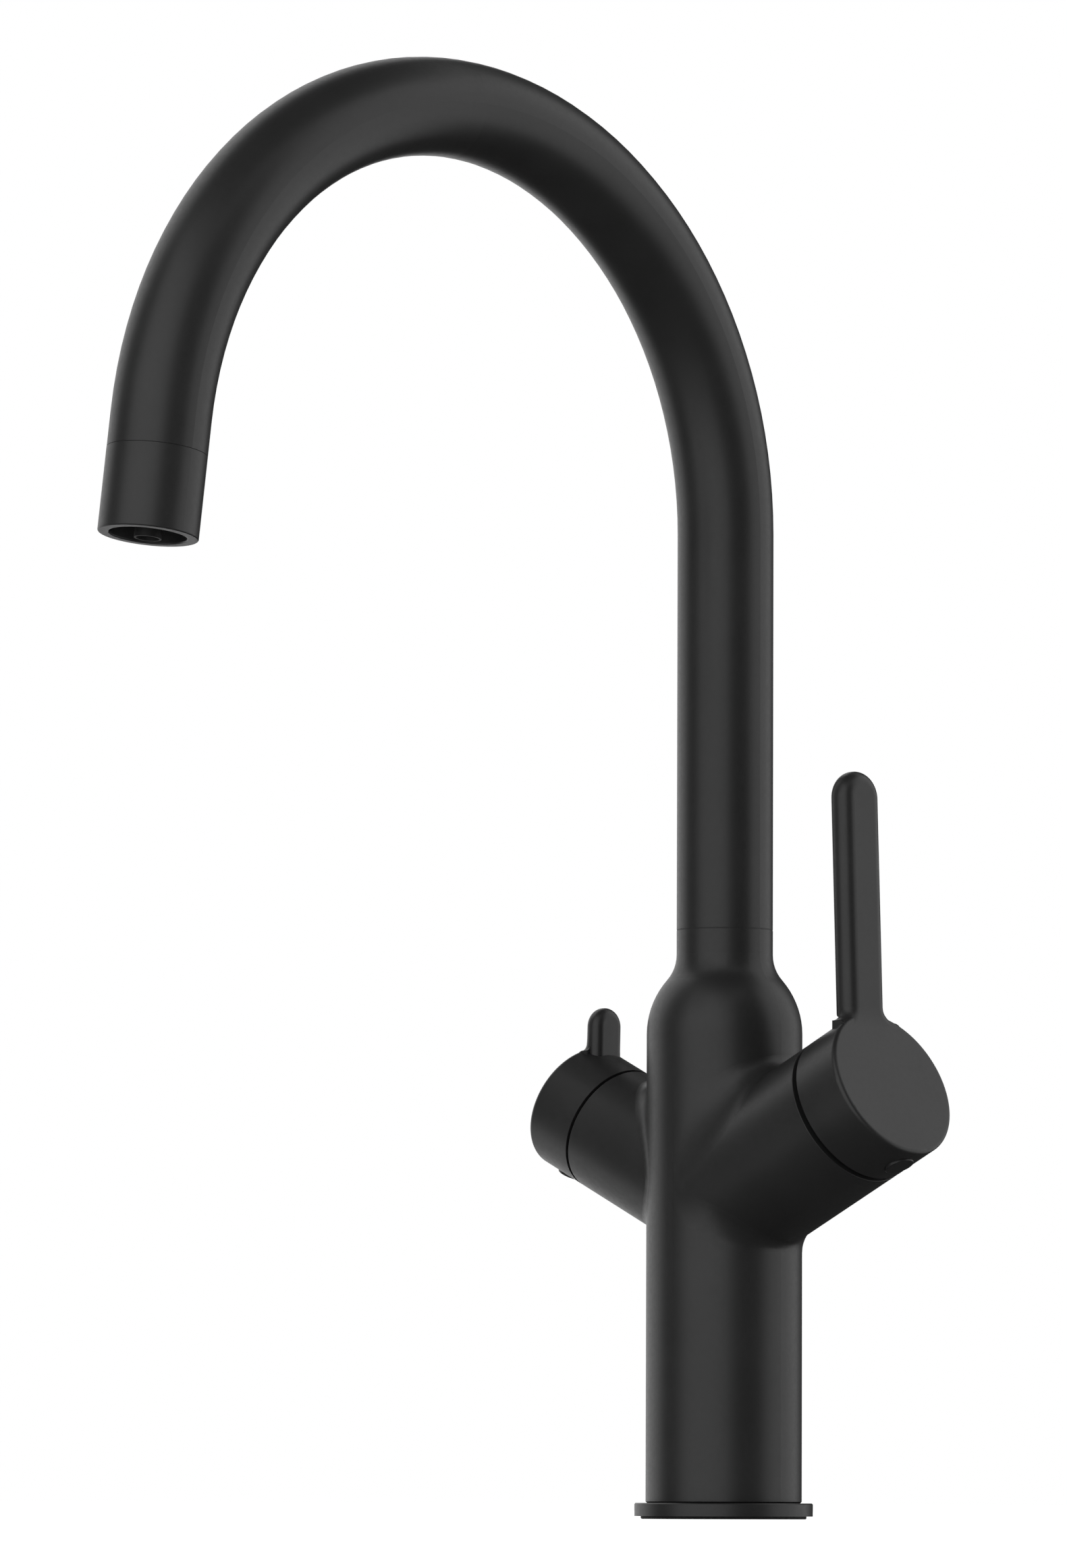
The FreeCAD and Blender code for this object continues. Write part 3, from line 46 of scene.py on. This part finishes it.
# Directions from the tap: level towards the camera, level to the camera's right, and up
TO_CAMERA = Vector((math.sin(CAMERA_AZIMUTH), -math.cos(CAMERA_AZIMUTH), 0))
TO_RIGHT = Vector((math.cos(CAMERA_AZIMUTH), math.sin(CAMERA_AZIMUTH), 0))
UP = Vector((0, 0, 1))

# Middle of the tap's height, on the axis of its column
MIDDLE = Vector((0, 0, (cad_box[0].z + cad_box[1].z) / 2))

# Surroundings and floor
WHITE = (1, 1, 1, 1)
SHOWN_STRENGTH = 1
FILL_STRENGTH = 0.55
FLOOR_SIZE = 60
FLOOR_COLOUR = (0.9, 0.9, 0.9, 1)
FLOOR_GLOW = 0.55

# Dark cards: turns from the camera to its right and the angles they fill, both in degrees
FLAG_TONE = (0.04, 0.04, 0.04, 1)
FLAG_DISTANCE = 1.5
FLAG_HEIGHT = 3.6
FRONT_RIGHT_TURN = 34
FRONT_RIGHT_ANGLE = 53
LEFT_TURN = -88
LEFT_ANGLE = 40
BACK_RIGHT_TURN = 157
BACK_RIGHT_ANGLE = 40
ABOVE_ANGLE = 66
BELOW_ANGLE = 122

# Lamps: turns as for the cards, places and sizes in metres, power in watts
LAMP_SIZE = 1.2
KEY_TURN = -32
KEY_DISTANCE = 1.6
KEY_HEIGHT = 1.2
KEY_POWER = 18
BACK_TURN = 150
BACK_DISTANCE = 1.8
BACK_HEIGHT = 1.4
BACK_POWER = 14

# Noise values between which a finish goes from one tone or roughness to the other
NOISE_LOW = 0.3
NOISE_HIGH = 0.7


def around(degrees):
    """Level direction from the tap, turned from the camera to its right."""
    angle = math.radians(degrees)
    return TO_CAMERA * math.cos(angle) + TO_RIGHT * math.sin(angle)


def make_camera():
    """Camera low in front, with the spout to the left and the mixer handle to the right."""
    lens = bpy.data.cameras.new("camera")
    lens.sensor_width = SENSOR_MM
    lens.lens = FOCAL_PIXELS / IMAGE_HEIGHT * SENSOR_MM
    camera = bpy.data.objects.new("camera", lens)
    bpy.context.scene.collection.objects.link(camera)
    camera.location = TO_CAMERA * CAMERA_DISTANCE - TO_RIGHT * CAMERA_ASIDE + UP * CAMERA_HEIGHT
    forward = UP * math.sin(CAMERA_PITCH) - TO_CAMERA * math.cos(CAMERA_PITCH)
    camera.rotation_mode = "QUATERNION"
    camera.rotation_quaternion = forward.to_track_quat("-Z", "Y") @ Quaternion((0, 0, 1), CAMERA_ROLL)
    bpy.context.scene.camera = camera


def seen_rays(tree):
    """One where a ray comes from the camera or a mirroring or clear surface, zero for other light."""
    rays = tree.nodes.new("ShaderNodeLightPath")
    seen = rays.outputs["Is Camera Ray"]
    for name in ("Is Glossy Ray", "Is Transmission Ray"):
        either = tree.nodes.new("ShaderNodeMath")
        either.operation = "MAXIMUM"
        tree.links.new(seen, either.inputs[0])
        tree.links.new(rays.outputs[name], either.inputs[1])
        seen = either.outputs[0]
    return seen


def choose(tree, factor, other, seen):
    """Mixes two shaders: the second one shows where the factor is one."""
    mix = tree.nodes.new("ShaderNodeMixShader")
    tree.links.new(factor, mix.inputs["Fac"])
    tree.links.new(other.outputs[0], mix.inputs[1])
    tree.links.new(seen.outputs[0], mix.inputs[2])
    return mix


def make_world():
    """White surroundings for what is seen or mirrored, and a softer fill for the rest of the light."""
    world = bpy.data.worlds.new("studio")
    world.use_nodes = True
    tree = world.node_tree
    tree.nodes.clear()
    fill = tree.nodes.new("ShaderNodeBackground")
    fill.inputs["Color"].default_value = WHITE
    fill.inputs["Strength"].default_value = FILL_STRENGTH
    shown = tree.nodes.new("ShaderNodeBackground")
    shown.inputs["Color"].default_value = WHITE
    shown.inputs["Strength"].default_value = SHOWN_STRENGTH
    output = tree.nodes.new("ShaderNodeOutputWorld")
    mix = choose(tree, seen_rays(tree), fill, shown)
    tree.links.new(mix.outputs[0], output.inputs["Surface"])
    bpy.context.scene.world = world


def new_panel(name, width, height):
    """Flat rectangle with its face along its own +Z."""
    mesh = bpy.data.meshes.new(name)
    across = width / 2
    along = height / 2
    corners = [(-across, -along, 0), (across, -along, 0), (across, along, 0), (-across, along, 0)]
    mesh.from_pydata(corners, [], [(0, 1, 2, 3)])
    panel = bpy.data.objects.new(name, mesh)
    bpy.context.scene.collection.objects.link(panel)
    return panel


def make_floor():
    """Plain pale floor that is white where it is lit and keeps the tap's shadow."""
    floor = new_panel("floor", FLOOR_SIZE, FLOOR_SIZE)
    material = bpy.data.materials.new("floor_paint")
    material.use_nodes = True
    tree = material.node_tree
    tree.nodes.clear()
    paint = tree.nodes.new("ShaderNodeBsdfDiffuse")
    paint.inputs["Color"].default_value = FLOOR_COLOUR
    glow = tree.nodes.new("ShaderNodeEmission")
    glow.inputs["Color"].default_value = WHITE
    glow.inputs["Strength"].default_value = FLOOR_GLOW
    shown = tree.nodes.new("ShaderNodeAddShader")
    tree.links.new(paint.outputs[0], shown.inputs[0])
    tree.links.new(glow.outputs[0], shown.inputs[1])
    output = tree.nodes.new("ShaderNodeOutputMaterial")
    mix = choose(tree, seen_rays(tree), paint, shown)
    tree.links.new(mix.outputs[0], output.inputs["Surface"])
    floor.data.materials.append(material)
    floor.visible_glossy = False


def make_flag(name, direction, width, height):
    """Dark card out of the picture, seen only in the tap's reflections, between the bright openings."""
    card = new_panel(name, width, height)
    material = bpy.data.materials.new(name + "_cloth")
    material.use_nodes = True
    tree = material.node_tree
    tree.nodes.clear()
    cloth = tree.nodes.new("ShaderNodeEmission")
    cloth.inputs["Color"].default_value = FLAG_TONE
    output = tree.nodes.new("ShaderNodeOutputMaterial")
    tree.links.new(cloth.outputs[0], output.inputs["Surface"])
    card.data.materials.append(material)
    card.location = MIDDLE + direction * FLAG_DISTANCE
    card.rotation_mode = "QUATERNION"
    card.rotation_quaternion = (-direction).to_track_quat("Z", "Y")
    card.visible_camera = False
    card.visible_diffuse = False
    card.visible_shadow = False


def span(degrees):
    """Width of a card that fills this angle as seen from the tap."""
    return 2 * FLAG_DISTANCE * math.tan(math.radians(degrees / 2))


def make_lamp(name, place, power):
    """Large soft lamp that looks at the middle of the tap."""
    light = bpy.data.lights.new(name, "AREA")
    light.shape = "RECTANGLE"
    light.size = LAMP_SIZE
    light.size_y = LAMP_SIZE
    light.energy = power
    lamp = bpy.data.objects.new(name, light)
    bpy.context.scene.collection.objects.link(lamp)
    lamp.location = place
    lamp.rotation_mode = "QUATERNION"
    lamp.rotation_quaternion = (MIDDLE - place).to_track_quat("-Z", "Y")
    lamp.visible_glossy = False


def make_studio():
    """Floor, cards and lamps around the tap.

    The cards leave three tall bright openings in the reflections: front left, right and back left.
    """
    make_floor()
    make_flag("flag_front_right", around(FRONT_RIGHT_TURN), span(FRONT_RIGHT_ANGLE), FLAG_HEIGHT)
    make_flag("flag_left", around(LEFT_TURN), span(LEFT_ANGLE), FLAG_HEIGHT)
    make_flag("flag_back_right", around(BACK_RIGHT_TURN), span(BACK_RIGHT_ANGLE), FLAG_HEIGHT)
    make_flag("flag_above", UP, span(ABOVE_ANGLE), span(ABOVE_ANGLE))
    make_flag("flag_below", -UP, span(BELOW_ANGLE), span(BELOW_ANGLE))
    make_lamp("lamp_key", around(KEY_TURN) * KEY_DISTANCE + UP * KEY_HEIGHT, KEY_POWER)
    make_lamp("lamp_back", around(BACK_TURN) * BACK_DISTANCE + UP * BACK_HEIGHT, BACK_POWER)


def noise(tree, size, detail=2.0):
    """Soft random pattern of this grain size in metres, fixed to the piece."""
    place = tree.nodes.new("ShaderNodeTexCoord")
    pattern = tree.nodes.new("ShaderNodeTexNoise")
    pattern.inputs["Scale"].default_value = 1 / size
    pattern.inputs["Detail"].default_value = detail
    tree.links.new(place.outputs["Object"], pattern.inputs["Vector"])
    return pattern.outputs["Fac"]


def vary_colour(tree, shader, pattern, dark, light):
    """Base colour that wanders between two close tones."""
    ramp = tree.nodes.new("ShaderNodeValToRGB")
    ramp.color_ramp.elements[0].position = NOISE_LOW
    ramp.color_ramp.elements[0].color = (*dark, 1)
    ramp.color_ramp.elements[1].position = NOISE_HIGH
    ramp.color_ramp.elements[1].color = (*light, 1)
    tree.links.new(pattern, ramp.inputs["Fac"])
    tree.links.new(ramp.outputs["Color"], shader.inputs["Base Color"])


def vary_roughness(tree, shader, pattern, smooth, rough):
    """Roughness that wanders between two values."""
    spread = tree.nodes.new("ShaderNodeMapRange")
    spread.inputs["From Min"].default_value = NOISE_LOW
    spread.inputs["From Max"].default_value = NOISE_HIGH
    spread.inputs["To Min"].default_value = smooth
    spread.inputs["To Max"].default_value = rough
    tree.links.new(pattern, spread.inputs["Value"])
    tree.links.new(spread.outputs["Result"], shader.inputs["Roughness"])


def raise_grain(tree, shader, pattern, depth, strength):
    """Fine relief on the surface, of this depth in metres."""
    bump = tree.nodes.new("ShaderNodeBump")
    bump.inputs["Distance"].default_value = depth
    bump.inputs["Strength"].default_value = strength
    tree.links.new(pattern, bump.inputs["Height"])
    tree.links.new(bump.outputs["Normal"], shader.inputs["Normal"])


def finish(name, patch, dark, light, mottle, detail, smooth, rough, grain, depth, strength, metallic=0):
    """Material with tones in soft patches, mottled roughness and a fine raised grain.

    The sizes of patches, mottling and grain and the grain's depth are in metres.
    """
    material = bpy.data.materials.new(name)
    material.use_nodes = True
    tree = material.node_tree
    shader = tree.nodes["Principled BSDF"]
    shader.inputs["Metallic"].default_value = metallic
    vary_colour(tree, shader, noise(tree, patch), dark, light)
    vary_roughness(tree, shader, noise(tree, mottle, detail), smooth, rough)
    raise_grain(tree, shader, noise(tree, grain), depth, strength)
    return material


def matte_black():
    """Satin black coating with a very fine grain, as on the whole outside of the tap."""
    return finish(
        "matte_black",
        patch=0.02, dark=(0.0112, 0.0112, 0.0112), light=(0.0142, 0.0142, 0.0142),
        mottle=0.0012, detail=4, smooth=0.36, rough=0.42,
        grain=0.00025, depth=0.00001, strength=0.25,
    )


def dark_trim():
    """Plain black plastic of the gap rings, the glide ring, and the outlet's insert and nozzle."""
    return finish(
        "dark_trim",
        patch=0.004, dark=(0.006, 0.006, 0.006), light=(0.009, 0.009, 0.009),
        mottle=0.0006, detail=3, smooth=0.5, rough=0.6,
        grain=0.0002, depth=0.00002, strength=0.3,
    )


def black_rubber():
    """Dull black rubber of the seals and O-rings."""
    return finish(
        "black_rubber",
        patch=0.003, dark=(0.012, 0.012, 0.012), light=(0.018, 0.018, 0.018),
        mottle=0.0008, detail=3, smooth=0.7, rough=0.85,
        grain=0.0003, depth=0.00002, strength=0.4,
    )


def brass():
    """Turned brass of the spindles, the cartridge nut, the filter valve's housing and the spigot."""
    return finish(
        "brass",
        patch=0.006, dark=(0.68, 0.5, 0.24), light=(0.78, 0.6, 0.32),
        mottle=0.0005, detail=4, smooth=0.2, rough=0.35,
        grain=0.0003, depth=0.000005, strength=0.3, metallic=1,
    )


def white_plastic():
    """Moulded pale plastic of the mixer cartridge's base and housing."""
    return finish(
        "white_plastic",
        patch=0.008, dark=(0.74, 0.74, 0.71), light=(0.8, 0.8, 0.78),
        mottle=0.001, detail=3, smooth=0.38, rough=0.5,
        grain=0.0004, depth=0.00001, strength=0.3,
    )


def disc_ceramic():
    """Lapped ceramic of the valve discs."""
    return finish(
        "disc_ceramic",
        patch=0.005, dark=(0.83, 0.82, 0.8), light=(0.88, 0.88, 0.86),
        mottle=0.0006, detail=3, smooth=0.08, rough=0.16,
        grain=0.0002, depth=0.000002, strength=0.2,
    )


def steel():
    """Plain steel of the grub screws and the spout's retaining screw."""
    return finish(
        "steel",
        patch=0.002, dark=(0.54, 0.54, 0.55), light=(0.62, 0.62, 0.63),
        mottle=0.0004, detail=4, smooth=0.25, rough=0.4,
        grain=0.0003, depth=0.000005, strength=0.3, metallic=1,
    )


def tube_plastic():
    """Milky plastic of the inner water tube."""
    return finish(
        "tube_plastic",
        patch=0.01, dark=(0.66, 0.69, 0.71), light=(0.73, 0.75, 0.77),
        mottle=0.001, detail=3, smooth=0.3, rough=0.42,
        grain=0.0005, depth=0.00001, strength=0.2,
    )


def dress_nodes():
    """Gives every CAD node the finish of its material slot."""
    finishes = {
        "matte_black": matte_black(),
        "dark_trim": dark_trim(),
        "black_rubber": black_rubber(),
        "brass": brass(),
        "white_plastic": white_plastic(),
        "disc_ceramic": disc_ceramic(),
        "steel": steel(),
        "tube_plastic": tube_plastic(),
    }
    for piece in nodes.values():
        for holder in piece.material_slots:
            holder.material = finishes[holder.material.name.split(".")[0]]


make_camera()
make_world()
make_studio()
dress_nodes()
bpy.context.scene.view_settings.view_transform = "Standard"
